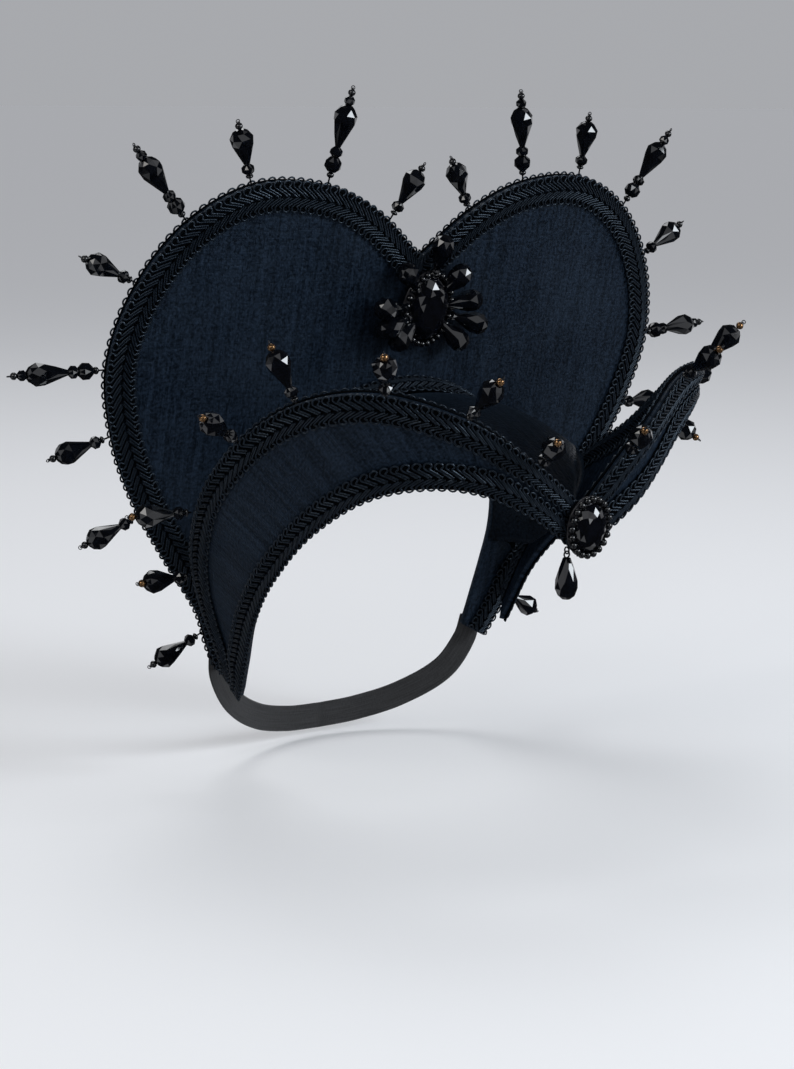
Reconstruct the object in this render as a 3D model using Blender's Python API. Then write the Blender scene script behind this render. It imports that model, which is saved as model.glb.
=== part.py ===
"""A stage crown: a heart-shaped back panel on a fitted cap, with a winged front brim,
gimp braid along every edge, beaded spikes, two jewels and a hanging drop.

Metres, +Z up. The wearer looks along -Y, and the wearer's left is +X.
The origin is the top of the wearer's head, where the inside of the cap rests."""

import math

import bmesh
import bpy
from mathutils import Matrix, Vector

for old in list(bpy.data.objects):
    bpy.data.objects.remove(old, do_unlink=True)

# The wearer's head, which the cap, the heart's arch and the strap follow
HEAD_HALF_WIDTH = 0.080
HEAD_HALF_DEPTH = 0.100
HEAD_RISE = 0.082

# Cloth, board and trimming
GAP = 0.0003
CAP_WALL = 0.0020
PANEL_WALL = 0.0030
BRIM_WALL = 0.0024
BRAID_WIDTH = 0.0150
BRAID_THICK = 0.0024
BRAID_OVERHANG = 0.0020

# Heart panel: its outline, and how it stands behind the head
HEART_HALF_WIDTH = 0.150
HEART_RISE = 0.098
HEART_DROP = 0.130
HEART_SETBACK = 0.0316
HEART_LEAN = 0.26
HEART_BOW = 0.40
ARCH_EASE = 0.0008
TAIL_INSET = 0.008
ARCH_BRAID_RISE = 0.0085
ARCH_BRAID_REACH = 0.0125
ARCH_BRAID_DROP = 0.080

# Front brim: a height and two widths that the tables below share out
BRIM_DROP = 0.132
BRIM_STAND = 0.030
WING_WIDTH = 0.064
BRIM_TURN = math.radians(-2.7)

# Cap: how far its edge comes down, and the tongue that meets the brim's peak
CAP_DROP = 0.078
CAP_SIDE_DROP = 0.079
CAP_TONGUE_SPREAD = 9.0
CAP_TONGUE_HEIGHT = 0.008

# Beads, all cut glass
LONG_TEAR_LENGTH = 0.0185
SHORT_TEAR_LENGTH = 0.0160
TEAR_RADIUS = 0.0051
BIG_RONDELLE_RADIUS = 0.0038
RONDELLE_RADIUS = 0.0029
SMALL_RONDELLE_RADIUS = 0.0024
SEED_RADIUS = 0.0017
WIRE_RADIUS = 0.0005
HEART_STALK = 0.0034
BRIM_STALK = 0.0012
BEAD_SIDES = 8

# Heart brooch and front jewel
BROOCH_STONE = (0.0106, 0.0150)
FRONT_STONE = (0.0078, 0.0105)
STONE_HEIGHT = 0.0050
SETTING_RING = 0.0032
PLATE_THICK = 0.0014
FRONT_JEWEL_SHARE = 0.70
FRONT_JEWEL_STAND = 0.0028
PETAL_REACH = 0.0355
PETAL_LENGTH = 0.0165
PETAL_RADIUS = 0.0052
PETAL_STEM = 0.0075
BROOCH_DROP_FROM_CLEFT = 0.024
BROOCH_ASIDE = 0.0045

# Hanging drop
DROP_LENGTH = 0.0175
DROP_RADIUS = 0.0048
LINK_RADIUS = 0.0014
LINK_WIRE = 0.00035
DROP_SET_BACK = -0.0010
DROP_TURN = -2.1

# Elastic strap round the back of the head
STRAP_WIDTH = 0.012
STRAP_THICK = 0.0016
STRAP_DROP = 0.036

# Half of the heart's outline from the cleft to the tail's tip:
# across as a share of the half width, up as a share of the whole height from the tip
HEART_OUTLINE = (
    # across, up
    (0.000, 0.851),
    (0.178, 0.943),
    (0.365, 0.993),
    (0.597, 0.997),
    (0.800, 0.928),
    (0.940, 0.805),
    (1.000, 0.658),
    (0.960, 0.513),
    (0.867, 0.377),
    (0.743, 0.254),
    (0.613, 0.136),
    (0.560, 0.057),
    (0.513, 0.000),
)

# Sections of the two wings of the brim, from the peak at the front to the tail:
# turn round the head in degrees, stand off the head as a share of BRIM_STAND,
# height of the inner edge as a share of BRIM_DROP below the origin,
# flare above the horizontal in degrees, and width as a share of WING_WIDTH.
# The brim sits askew, so the wearer's left wing rides higher and closer.
WING_RIGHT = (
    # turn, stand, drop, flare, width
    (0.0, 0.067, 0.421, 82.0, 0.344),
    (15.0, 0.400, 0.262, 71.0, 0.398),
    (30.0, 0.783, 0.174, 64.0, 0.578),
    (45.0, 0.983, 0.197, 65.0, 0.789),
    (60.0, 0.917, 0.330, 64.0, 0.961),
    (75.0, 0.717, 0.515, 58.0, 1.000),
    (90.0, 0.450, 0.697, 54.0, 0.844),
    (105.0, 0.217, 0.867, 53.0, 0.594),
    (118.0, 0.133, 1.000, 57.0, 0.344),
    (125.5, 0.133, 1.060, 60.0, 0.281),
)
WING_LEFT = (
    # turn, stand, drop, flare, width
    (0.0, 0.067, 0.421, 82.0, 0.344),
    (15.0, 0.343, 0.263, 79.0, 0.578),
    (30.0, 0.620, 0.058, 87.0, 0.410),
    (45.0, 0.750, -0.011, 78.0, 0.290),
    (60.0, 0.530, 0.120, 75.0, 0.456),
    (75.0, 0.400, 0.314, 72.0, 0.680),
    (90.0, 0.267, 0.466, 67.0, 0.750),
    (105.0, 0.200, 0.540, 62.0, 0.660),
    (118.0, 0.150, 0.700, 62.0, 0.470),
    (127.0, 0.133, 0.909, 66.0, 0.281),
)

# The cap's lower edge: turn round the head in degrees, and height as a share of CAP_DROP
CAP_EDGE = (
    # turn, drop
    (0.0, 0.60),
    (10.0, 0.42),
    (20.0, 0.32),
    (40.0, 0.27),
    (58.0, 0.34),
    (80.0, 0.56),
    (100.0, 0.85),
    (112.0, 1.00),
)

# Half of the strap: across as a share of the head's half width, back as a share of its
# half depth, and down below the heart's tails as a share of STRAP_DROP
STRAP_PATH = (
    # across, back, down
    (0.90, 0.729, -0.30),
    (0.88, 0.762, 0.05),
    (0.76, 0.810, 0.47),
    (0.52, 0.905, 0.80),
    (0.25, 0.975, 0.96),
    (0.00, 1.000, 1.00),
)

# The stones round the brooch: turn in degrees from straight up towards the wearer's right,
# and how far the tip reaches from the middle as a share of PETAL_REACH
BROOCH_PETALS = (
    # turn, reach
    (-1.0, 1.00),
    (42.0, 0.84),
    (85.0, 0.88),
    (108.0, 0.82),
    (130.0, 0.72),
    (-130.0, 0.79),
    (-105.0, 0.92),
    (-79.0, 0.76),
    (-38.0, 0.74),
)

# Spikes on the heart's edge: place as a share of the way from the cleft to the tail's tip,
# tilt outward from straight up in degrees, and whether the spike is a long one
HEART_SPIKES_RIGHT = (
    # share, tilt, long
    (0.066, -30.0, False),
    (0.169, -8.0, True),
    (0.272, 21.0, False),
    (0.361, 41.0, True),
    (0.447, 66.0, False),
    (0.553, 91.0, True),
    (0.634, 108.0, False),
    (0.748, 115.0, False),
    (0.936, 120.0, False),
)
HEART_SPIKES_LEFT = (
    # share, tilt, long
    (0.081, -32.0, False),
    (0.164, -14.0, True),
    (0.257, 0.0, False),
    (0.356, 33.0, True),
    (0.440, 58.0, False),
    (0.549, 86.0, True),
    (0.647, 91.0, False),
    (0.748, 115.0, False),
    (0.936, 120.0, False),
)

# Spikes on the brim's upper edge: turn round the head in degrees, swing from straight out
# towards the tail in degrees, and rise above level in degrees
BRIM_SPIKES_RIGHT = (
    # turn, swing, rise
    (14.0, 4.0, 29.0),
    (29.0, -38.0, 42.0),
    (42.0, -8.0, 43.0),
    (57.0, 40.0, 65.0),
    (69.0, -3.0, 27.0),
    (85.0, 20.0, -2.0),
    (99.0, -19.0, 0.0),
)
BRIM_SPIKES_LEFT = (
    # turn, swing, rise
    (9.0, -30.0, 29.0),
    (27.0, -21.0, 33.0),
    (34.0, 20.0, 44.0),
    (66.0, 47.0, 4.0),
    (82.0, -10.0, -36.0),
    (100.0, -20.0, -30.0),
)


def smooth(rows, column, at):
    """The value of a table's column at a place in its first column, on a smooth curve."""
    places = [row[0] for row in rows]
    values = [row[column] for row in rows]
    last = len(rows) - 1
    i = max(j for j in range(last) if j == 0 or places[j] <= at)
    span = places[i + 1] - places[i]
    t = min(max((at - places[i]) / span, 0.0), 1.0)

    def slope(j):
        a, b = max(j - 1, 0), min(j + 1, last)
        return (values[b] - values[a]) / (places[b] - places[a])

    m0, m1 = slope(i) * span, slope(i + 1) * span
    return (
        (2 * t**3 - 3 * t**2 + 1) * values[i]
        + (t**3 - 2 * t**2 + t) * m0
        + (-2 * t**3 + 3 * t**2) * values[i + 1]
        + (t**3 - t**2) * m1
    )


def even(path, count):
    """A path's points placed again at equal steps along it."""
    places = [0.0]
    for a, b in zip(path, path[1:]):
        places.append(places[-1] + (b - a).length)
    points = []
    i = 0
    for k in range(count):
        at = places[-1] * k / (count - 1)
        while i < len(path) - 2 and places[i + 1] < at:
            i += 1
        span = places[i + 1] - places[i]
        points.append(path[i].lerp(path[i + 1], min((at - places[i]) / span, 1.0)))
    return points


def trace(points, count):
    """Equal steps along a smooth curve through a list of points."""
    points = [Vector(p) for p in points]
    places = [0.0]
    for a, b in zip(points, points[1:]):
        places.append(places[-1] + (b - a).length)
    rows = [(place, *p) for place, p in zip(places, points)]
    size = len(points[0])
    fine = [
        Vector([smooth(rows, k + 1, places[-1] * i / 400) for k in range(size)])
        for i in range(401)
    ]
    return even(fine, count)


def give_material(obj, look):
    """The plain Principled material of one piece."""
    color, roughness, metallic = look
    material = bpy.data.materials.new(obj.name)
    material.use_nodes = True
    shader = material.node_tree.nodes["Principled BSDF"]
    shader.inputs["Base Color"].default_value = (*color, 1.0)
    shader.inputs["Roughness"].default_value = roughness
    shader.inputs["Metallic"].default_value = metallic
    obj.data.materials.append(material)


def body(name, mesh, look):
    """One closed body as an object of its own."""
    bmesh.ops.recalc_face_normals(mesh, faces=mesh.faces)
    data = bpy.data.meshes.new(name)
    mesh.to_mesh(data)
    mesh.free()
    obj = bpy.data.objects.new(name, data)
    bpy.context.scene.collection.objects.link(obj)
    give_material(obj, look)
    return obj


def slab(name, front, back, look):
    """A sheet of real thickness between two matching grids of points."""
    mesh = bmesh.new()
    rows, columns = len(front), len(front[0])
    f = [[mesh.verts.new(p) for p in row] for row in front]
    b = [[mesh.verts.new(p) for p in row] for row in back]
    for i in range(rows - 1):
        for j in range(columns - 1):
            mesh.faces.new((f[i][j], f[i + 1][j], f[i + 1][j + 1], f[i][j + 1]))
            mesh.faces.new((b[i][j], b[i][j + 1], b[i + 1][j + 1], b[i + 1][j]))
    for i in range(rows - 1):
        mesh.faces.new((f[i][0], b[i][0], b[i + 1][0], f[i + 1][0]))
        mesh.faces.new((f[i][-1], f[i + 1][-1], b[i + 1][-1], b[i][-1]))
    for j in range(columns - 1):
        mesh.faces.new((f[0][j], f[0][j + 1], b[0][j + 1], b[0][j]))
        mesh.faces.new((f[-1][j], b[-1][j], b[-1][j + 1], f[-1][j + 1]))
    return body(name, mesh, look)


def lathe(mesh, profile, sides, place):
    """A closed turned shape, from (distance, radius) rings along its own Z, put in place."""
    rings = []
    for along, radius in profile:
        ring = []
        for k in range(sides):
            angle = 2 * math.pi * k / sides
            spot = Vector((radius * math.cos(angle), radius * math.sin(angle), along))
            ring.append(mesh.verts.new(place @ spot))
        rings.append(ring)
    for a, b in zip(rings, rings[1:]):
        for k in range(sides):
            n = (k + 1) % sides
            mesh.faces.new((a[k], a[n], b[n], b[k]))
    mesh.faces.new(list(reversed(rings[0])))
    mesh.faces.new(rings[-1])


def ring_of_wire(mesh, radius, wire, sides, across, place):
    """A closed ring of round wire, flat in its own XY plane, put in place."""
    rings = []
    for k in range(sides):
        angle = 2 * math.pi * k / sides
        out = Vector((math.cos(angle), math.sin(angle), 0.0))
        ring = []
        for n in range(across):
            turn = 2 * math.pi * n / across
            reach = radius + wire * math.cos(turn)
            spot = out * reach + Vector((0.0, 0.0, wire * math.sin(turn)))
            ring.append(mesh.verts.new(place @ spot))
        rings.append(ring)
    for k in range(sides):
        a, b = rings[k], rings[(k + 1) % sides]
        for n in range(across):
            m = (n + 1) % across
            mesh.faces.new((a[n], b[n], b[m], a[m]))


def aim(origin, ahead, side):
    """A placement whose own Z looks ahead and whose own X is close to a side direction."""
    z = ahead.normalized()
    y = z.cross(side).normalized()
    x = y.cross(z)
    turn = Matrix((x, y, z)).transposed().to_4x4()
    return Matrix.Translation(origin) @ turn


def fuse(obj):
    """Overlapping shells of one object joined into one closed body."""
    seed = bpy.data.meshes.new(obj.name + "_cutter")
    tool = bpy.data.objects.new(obj.name + "_cutter", seed)
    bpy.context.scene.collection.objects.link(tool)
    tool.hide_render = True
    tool.hide_viewport = True
    tool.display_type = "WIRE"
    join = obj.modifiers.new("join", "BOOLEAN")
    join.operation = "UNION"
    join.solver = "EXACT"
    join.use_self = True
    join.object = tool


SILK = ((0.012, 0.013, 0.018), 0.60, 0.0)
BRAID = ((0.010, 0.010, 0.012), 0.45, 0.0)
JET = ((0.006, 0.006, 0.008), 0.08, 0.0)
WIRE = ((0.05, 0.05, 0.05), 0.35, 1.0)
ELASTIC = ((0.010, 0.010, 0.011), 0.80, 0.0)


# The head

def head_radius(turn):
    """The head's plan radius at a turn from the front, at its widest level."""
    across = math.sin(turn) / HEAD_HALF_WIDTH
    along = math.cos(turn) / HEAD_HALF_DEPTH
    return 1.0 / math.hypot(across, along)


def head_level(spot, ease):
    """Below one inside the head grown by an ease, above one outside it."""
    x = spot.x / (HEAD_HALF_WIDTH + ease)
    y = spot.y / (HEAD_HALF_DEPTH + ease)
    z = max(spot.z + HEAD_RISE, 0.0) / (HEAD_RISE + ease)
    return x * x + y * y + z * z


def head_spot(turn, height):
    """The place on the head at a turn from the front and a height."""
    share = math.sqrt(1.0 - ((height + HEAD_RISE) / HEAD_RISE) ** 2)
    reach = share * head_radius(turn)
    return Vector((reach * math.sin(turn), -reach * math.cos(turn), height))


# The heart

def on_heart(x, z, off):
    """A place off the heart's front face, in front of it where off is positive."""
    face = Vector((x, HEART_SETBACK + HEART_BOW * x * x - HEART_LEAN * z, z))
    ahead = Vector((2 * HEART_BOW * x, -1.0, -HEART_LEAN)).normalized()
    return face + ahead * off


def heart_half(count):
    """Half of the heart's outline, from the cleft to the tip of a tail."""
    height = HEART_RISE + HEART_DROP
    rows = [(a * HEART_HALF_WIDTH, up * height - HEART_DROP) for a, up in HEART_OUTLINE]
    return trace(rows, count)


def inset(half, distance):
    """Half of the outline moved into the heart."""
    moved = []
    for i, p in enumerate(half):
        a, b = half[max(i - 1, 0)], half[min(i + 1, len(half) - 1)]
        run = (b - a).normalized()
        inward = Vector((run.y, -run.x))
        if i == 0:
            moved.append(Vector((0.0, p.y - distance / -inward.y)))
        else:
            moved.append(p + inward * distance)
    return moved


def arch_half(ease, off, count, foot):
    """Half of the arch round the head, from its top down to a foot level."""
    points = []
    for k in range(31):
        angle = math.radians(90.0 * k / 30)
        low, high = 0.0, 0.2
        for _ in range(40):
            reach = (low + high) / 2
            spot = on_heart(reach * math.sin(angle), reach * math.cos(angle) - HEAD_RISE, off)
            if head_level(spot, ease) < 1.0:
                low = reach
            else:
                high = reach
        points.append(Vector((low * math.sin(angle), low * math.cos(angle) - HEAD_RISE)))
    for k in range(1, 9):
        z = -HEAD_RISE + (foot + HEAD_RISE) * k / 8
        low, high = 0.0, 0.2
        for _ in range(40):
            reach = (low + high) / 2
            if head_level(on_heart(reach, z, off), ease) < 1.0:
                low = reach
            else:
                high = reach
        points.append(Vector((low, z)))
    points = [p for p in points if p.y >= foot - 1e-6]
    return even(points, count)


def both(half):
    """A whole outline from its right-hand half."""
    return [Vector((-p.x, p.y)) for p in reversed(half[1:])] + list(half)


def grid(lines, off):
    """Points on the heart for lines that run side by side."""
    return [[on_heart(line[i].x, line[i].y, off) for line in lines] for i in range(len(lines[0]))]


STEPS = 25
outline = heart_half(STEPS)
panel_edge = inset(outline, BRAID_OVERHANG)
arch_edge = arch_half(ARCH_EASE, 0.0, STEPS, TAIL_INSET - HEART_DROP)
lines = []
for k in range(3):
    share = k / 2
    lines.append(both([a.lerp(b, share) for a, b in zip(panel_edge, arch_edge)]))
slab("heart_panel", grid(lines, 0.0), grid(lines, -PANEL_WALL), SILK)

edge_lines = [both(outline), both(inset(outline, BRAID_WIDTH))]
near, far = GAP, GAP + BRAID_THICK
slab("heart_front_braid", grid(edge_lines, far), grid(edge_lines, near), BRAID)
near, far = -PANEL_WALL - GAP, -PANEL_WALL - GAP - BRAID_THICK
slab("heart_back_braid", grid(edge_lines, far), grid(edge_lines, near), BRAID)


def arch_band(thick):
    """One face of the arch braid, which lies from the heart's face over onto the cap."""
    count = 19
    high = both(arch_half(CAP_WALL + ARCH_BRAID_RISE, GAP, count, -ARCH_BRAID_DROP))
    reach = GAP + ARCH_BRAID_REACH
    low = both(arch_half(CAP_WALL + GAP, reach, count, -ARCH_BRAID_DROP))
    heart_side = [on_heart(p.x, p.y, GAP) for p in high]
    cap_side = [on_heart(p.x, p.y, reach) for p in low]
    rows = []
    for i, (a, b) in enumerate(zip(heart_side, cap_side)):
        run = heart_side[min(i + 1, 2 * count - 2)] - heart_side[max(i - 1, 0)]
        out = (b - a).cross(run).normalized()
        rows.append([a + out * thick, b + out * thick])
    return rows


slab("arch_braid", arch_band(BRAID_THICK), arch_band(0.0), BRAID)


# The front brim

def section(turn):
    """The inner edge, the direction across and the width of the brim at a signed turn."""
    table = WING_LEFT if turn > 0.0 else WING_RIGHT
    stand, drop, flare, width = [smooth(table, k, abs(turn)) for k in (1, 2, 3, 4)]
    angle = math.radians(turn)
    out = Vector((math.sin(angle), -math.cos(angle), 0.0))
    inner = out * (head_radius(angle) + stand * BRIM_STAND)
    inner.z = -drop * BRIM_DROP
    lean = math.radians(flare)
    across = out * math.cos(lean) + Vector((0.0, 0.0, math.sin(lean)))
    return inner, across, width * WING_WIDTH


def on_brim(turn, across, off):
    """A place on the brim, off its middle surface, outside it where off is positive."""
    inner, up, width = section(turn)
    run = Vector((1.0, 0.0, 0.0))
    if abs(turn) > 0.1:
        side = math.copysign(1.0, turn)
        low, high = side * max(abs(turn) - 1.0, 0.01), side * (abs(turn) + 1.0)
        a, b = section(low), section(high)
        run = (b[0] + b[1] * b[2] / 2 - a[0] - a[1] * a[2] / 2) * side
    ahead = run.cross(up).normalized()
    return Matrix.Rotation(BRIM_TURN, 3, "Z") @ (inner + up * across + ahead * off)


turns = [-WING_RIGHT[-1][0] * (1.0 - k / 20) for k in range(21)]
turns += [WING_LEFT[-1][0] * k / 20 for k in range(1, 21)]
skin = BRIM_WALL / 2


def brim_sheet(name, look, near, far, pick):
    """A sheet over part of the brim's width, between two distances off its middle."""
    front, back = [], []
    for turn in turns:
        width = section(turn)[2]
        broad = min(BRAID_WIDTH, (width - GAP) / 2)
        inner = (0.0, BRAID_OVERHANG, broad)
        outer = (width - broad, width - BRAID_OVERHANG, width)
        across = {"inner": inner, "outer": outer, "all": inner[1:] + outer[:2]}[pick]
        front.append([on_brim(turn, a, far) for a in across])
        back.append([on_brim(turn, a, near) for a in across])
    slab(name, front, back, look)


braid_near, braid_far = skin + GAP, skin + GAP + BRAID_THICK
brim_sheet("front_brim", SILK, -skin, skin, "all")
brim_sheet("brim_outer_braid", BRAID, braid_near, braid_far, "outer")
brim_sheet("brim_back_braid", BRAID, -braid_near, -braid_far, "outer")
brim_sheet("brim_inner_braid", BRAID, braid_near, braid_far, "inner")


# The cap

def scaled(spot, ease):
    """A place as a direction on the unit ball that stands for the grown head."""
    return Vector((
        spot.x / (HEAD_HALF_WIDTH + ease),
        spot.y / (HEAD_HALF_DEPTH + ease),
        (spot.z + HEAD_RISE) / (HEAD_RISE + ease),
    ))


def unscaled(ball, ease):
    """The place on the grown head that a direction on the unit ball stands for."""
    return Vector((
        ball.x * (HEAD_HALF_WIDTH + ease),
        ball.y * (HEAD_HALF_DEPTH + ease),
        ball.z * (HEAD_RISE + ease) - HEAD_RISE,
    ))


def cap_grid(ease, tongue_off):
    """One face of the cap: rows from its front edge back to the arch."""
    rows = []
    count = 14
    arch = both(arch_half(ease, GAP, count, -CAP_SIDE_DROP))
    end = CAP_EDGE[-1][0]
    for i, back in enumerate(arch):
        turn = math.radians(end * (i - count + 1) / (count - 1))
        height = -CAP_DROP * smooth(CAP_EDGE, 1, abs(math.degrees(turn)))
        start = scaled(head_spot(turn, height), 0.0)
        finish = scaled(on_heart(back.x, back.y, GAP), ease)
        reach = math.exp(-((math.degrees(turn) / CAP_TONGUE_SPREAD) ** 2))
        target = on_brim(0.0, CAP_TONGUE_HEIGHT, tongue_off)
        row = []
        for k in range(7):
            share = k / 6
            spot = unscaled(start.lerp(finish, share).normalized(), ease)
            fade = reach * max(1.0 - 2.0 * share, 0.0) ** 2
            row.append(spot.lerp(target, fade) if i == count - 1 or fade > 0.02 else spot)
        rows.append(row)
    return rows


slab(
    "cap",
    cap_grid(CAP_WALL, -skin - GAP),
    cap_grid(0.0, -skin - GAP - CAP_WALL),
    SILK,
)


# Beads

def rondelle(start, length, radius):
    """Profile of one cut bead."""
    return [(start + length / 2, radius), (start + length, WIRE_RADIUS)]


def tear(start, length, radius):
    """Profile of one drop-shaped bead, its fat end outward."""
    shares = ((0.25, 0.45), (0.60, 0.94), (0.78, 1.0), (0.94, 0.62), (1.0, 0.12))
    return [(start + length * along, radius * broad) for along, broad in shares]


def spike(name, foot, ahead, side, stalk, long):
    """Cut beads on a wire, from the cloth's edge outward, as one body."""
    at = stalk
    profile = [(0.0, WIRE_RADIUS), (at, WIRE_RADIUS)]
    if long:
        beads = (
            (0.0028, SEED_RADIUS),
            (0.0066, BIG_RONDELLE_RADIUS),
            (0.0044, RONDELLE_RADIUS),
        )
    else:
        beads = ((0.0020, SEED_RADIUS), (0.0044, RONDELLE_RADIUS))
    for length, radius in beads:
        profile += rondelle(at, length, radius)
        at += length
    length = LONG_TEAR_LENGTH if long else SHORT_TEAR_LENGTH
    profile += tear(at, length, TEAR_RADIUS)
    at += length
    if long:
        profile += rondelle(at, 0.0040, SMALL_RONDELLE_RADIUS)
        at += 0.0040
    profile += [(at + 0.0017, SEED_RADIUS), (at + 0.0034, SEED_RADIUS * 0.35)]
    mesh = bmesh.new()
    lathe(mesh, profile, BEAD_SIDES, aim(foot, ahead, side))
    body(name, mesh, JET)


def heart_spikes(rows, side, label):
    """Spikes on one half of the heart's edge."""
    fine = heart_half(401)
    edge = inset(fine, BRAID_OVERHANG)
    middle = -PANEL_WALL / 2
    for k, (share, tilt, long) in enumerate(rows):
        p = edge[min(round(share * 400), 400)]
        angle = math.radians(tilt)
        step = Vector((math.sin(angle), math.cos(angle))) * 0.001
        foot = on_heart(side * p.x, p.y, middle)
        ahead = on_heart(side * (p.x + step.x), p.y + step.y, middle) - foot
        foot += ahead.normalized() * GAP * 1.5
        name = "heart_spike_%s_%d" % (label, k + 1)
        spike(name, foot, ahead, Vector((0.0, 1.0, 0.0)), HEART_STALK, long)


heart_spikes(HEART_SPIKES_RIGHT, -1, "right")
heart_spikes(HEART_SPIKES_LEFT, 1, "left")


def brim_spikes(rows, side, label):
    """Spikes on the upper edge of one wing of the brim, at the outer braid's rim."""
    for k, (turn, swing, rise) in enumerate(rows):
        at = side * turn
        foot = on_brim(at, section(at)[2] + GAP, braid_far)
        around = math.radians(side * (turn + swing)) + BRIM_TURN
        climb = math.radians(rise)
        level = Vector((math.sin(around), -math.cos(around), 0.0))
        ahead = level * math.cos(climb) + Vector((0.0, 0.0, math.sin(climb)))
        name = "brim_spike_%s_%d" % (label, k + 1)
        spike(name, foot, ahead, level.cross(Vector((0.0, 0.0, 1.0))), BRIM_STALK, False)


brim_spikes(BRIM_SPIKES_RIGHT, -1, "right")
brim_spikes(BRIM_SPIKES_LEFT, 1, "left")


# Jewels

def stone(mesh, half, height, lift, place):
    """An oval cut stone with a table on top and a step of facets round it."""
    profile = ((0.0, 0.80), (0.30, 1.0), (0.72, 0.82), (1.0, 0.52))
    size = Matrix.Diagonal((half[0], half[1], height, 1.0))
    rings = [(along, broad) for along, broad in profile]
    lathe(mesh, rings, 12, place @ Matrix.Translation((0.0, 0.0, lift)) @ size)


def setting(mesh, half, place):
    """The oval back plate and the round rim that hold a stone."""
    plate = Matrix.Diagonal((half[0] + SETTING_RING, half[1] + SETTING_RING, 1.0, 1.0))
    lathe(mesh, [(0.0, 0.94), (PLATE_THICK, 0.94)], 20, place @ plate)
    middle = SETTING_RING / 2
    rim = Matrix.Diagonal((1.0, (half[1] + middle) / (half[0] + middle), 1.0, 1.0))
    lift = Matrix.Translation((0.0, 0.0, PLATE_THICK + middle * 0.5))
    ring_of_wire(mesh, half[0] + middle, middle, 20, 6, place @ lift @ rim)


brooch_height = outline[0].y - BROOCH_DROP_FROM_CLEFT
base = GAP + BRAID_THICK + GAP
brooch_at = on_heart(BROOCH_ASIDE, brooch_height, base)
brooch_out = on_heart(BROOCH_ASIDE, brooch_height, base + 0.01) - brooch_at
brooch_place = aim(brooch_at, brooch_out, Vector((1.0, 0.0, 0.0)))
mesh = bmesh.new()
setting(mesh, BROOCH_STONE, brooch_place)
stone(mesh, BROOCH_STONE, STONE_HEIGHT, PLATE_THICK - 0.0004, brooch_place)
for angle, reach in BROOCH_PETALS:
    turn = math.radians(angle)
    out = Vector((-math.sin(turn), math.cos(turn), 0.0))
    start = out * (reach * PETAL_REACH - PETAL_LENGTH)
    start.z = PETAL_RADIUS + GAP
    petal = aim(start, out, Vector((0.0, 0.0, 1.0)))
    profile = [(-PETAL_STEM, PETAL_RADIUS * 0.3)]
    profile += tear(0.0, PETAL_LENGTH, PETAL_RADIUS)
    lathe(mesh, profile, 6, brooch_place @ petal)
fuse(body("heart_brooch", mesh, JET))

jewel_off = skin + GAP + BRAID_THICK + FRONT_JEWEL_STAND
jewel_across = FRONT_JEWEL_SHARE * section(0.0)[2]
jewel_at = on_brim(0.0, jewel_across, jewel_off)
jewel_out = on_brim(0.0, jewel_across, jewel_off + 0.01) - jewel_at
jewel_place = aim(jewel_at, jewel_out, Vector((1.0, 0.0, 0.0)))
mesh = bmesh.new()
setting(mesh, FRONT_STONE, jewel_place)
stone(mesh, FRONT_STONE, STONE_HEIGHT, PLATE_THICK - 0.0004, jewel_place)
fuse(body("front_jewel", mesh, JET))


# The drop and its ring under the peak

link_top = on_brim(DROP_TURN, BRAID_OVERHANG, DROP_SET_BACK) - Vector((0.0, 0.0, GAP + LINK_WIRE))
link_at = link_top - Vector((0.0, 0.0, LINK_RADIUS))
mesh = bmesh.new()
upright = Matrix.Translation(link_at) @ Matrix.Rotation(math.pi / 2, 4, "Y")
ring_of_wire(mesh, LINK_RADIUS, LINK_WIRE, 14, 6, upright)
body("drop_ring", mesh, WIRE)

hinge_at = link_at - Vector((0.0, 0.0, LINK_RADIUS))
eye_at = hinge_at - Vector((0.0, 0.0, GAP))
mesh = bmesh.new()
flat = Matrix.Translation(eye_at) @ Matrix.Rotation(math.pi / 2, 4, "X")
ring_of_wire(mesh, LINK_RADIUS, LINK_WIRE, 14, 6, flat)
drop_top = eye_at - Vector((0.0, 0.0, LINK_RADIUS))
down = aim(drop_top, Vector((0.0, 0.0, -1.0)), Vector((1.0, 0.0, 0.0)))
profile = [(0.0, DROP_RADIUS * 0.16)] + tear(0.0, DROP_LENGTH, DROP_RADIUS)
lathe(mesh, profile, 10, down)
hanging = body("drop", mesh, JET)
hanging.data.transform(Matrix.Translation(-hinge_at))
hanging.location = hinge_at
fuse(hanging)


# The strap

def strap_grid(off):
    """One face of the strap: rows along it, from tail to tail."""
    path = [
        (across * HEAD_HALF_WIDTH, back * HEAD_HALF_DEPTH, -HEART_DROP - down * STRAP_DROP)
        for across, back, down in STRAP_PATH
    ]
    half = trace(path, 14)
    whole = [Vector((-p.x, p.y, p.z)) for p in half] + list(reversed(half[:-1]))
    rows = []
    for i, p in enumerate(whole):
        a, b = whole[max(i - 1, 0)], whole[min(i + 1, len(whole) - 1)]
        run = (b - a).normalized()
        turned = 1.0 - abs(2 * i / (len(whole) - 1) - 1.0)
        out = Vector((turned * p.x / HEAD_HALF_WIDTH**2, p.y / HEAD_HALF_DEPTH**2, 0.0))
        side = run.cross(out).normalized()
        out = side.cross(run).normalized()
        rows.append([p + out * off + side * STRAP_WIDTH * s for s in (-0.5, 0.0, 0.5)])
    return rows


slab("nape_strap", strap_grid(STRAP_THICK / 2), strap_grid(-STRAP_THICK / 2), ELASTIC)
print("hinge", [round(v, 5) for v in hinge_at])
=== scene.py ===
import math

import bmesh
import bpy
import numpy as np
from mathutils import Matrix, Vector, noise


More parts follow.
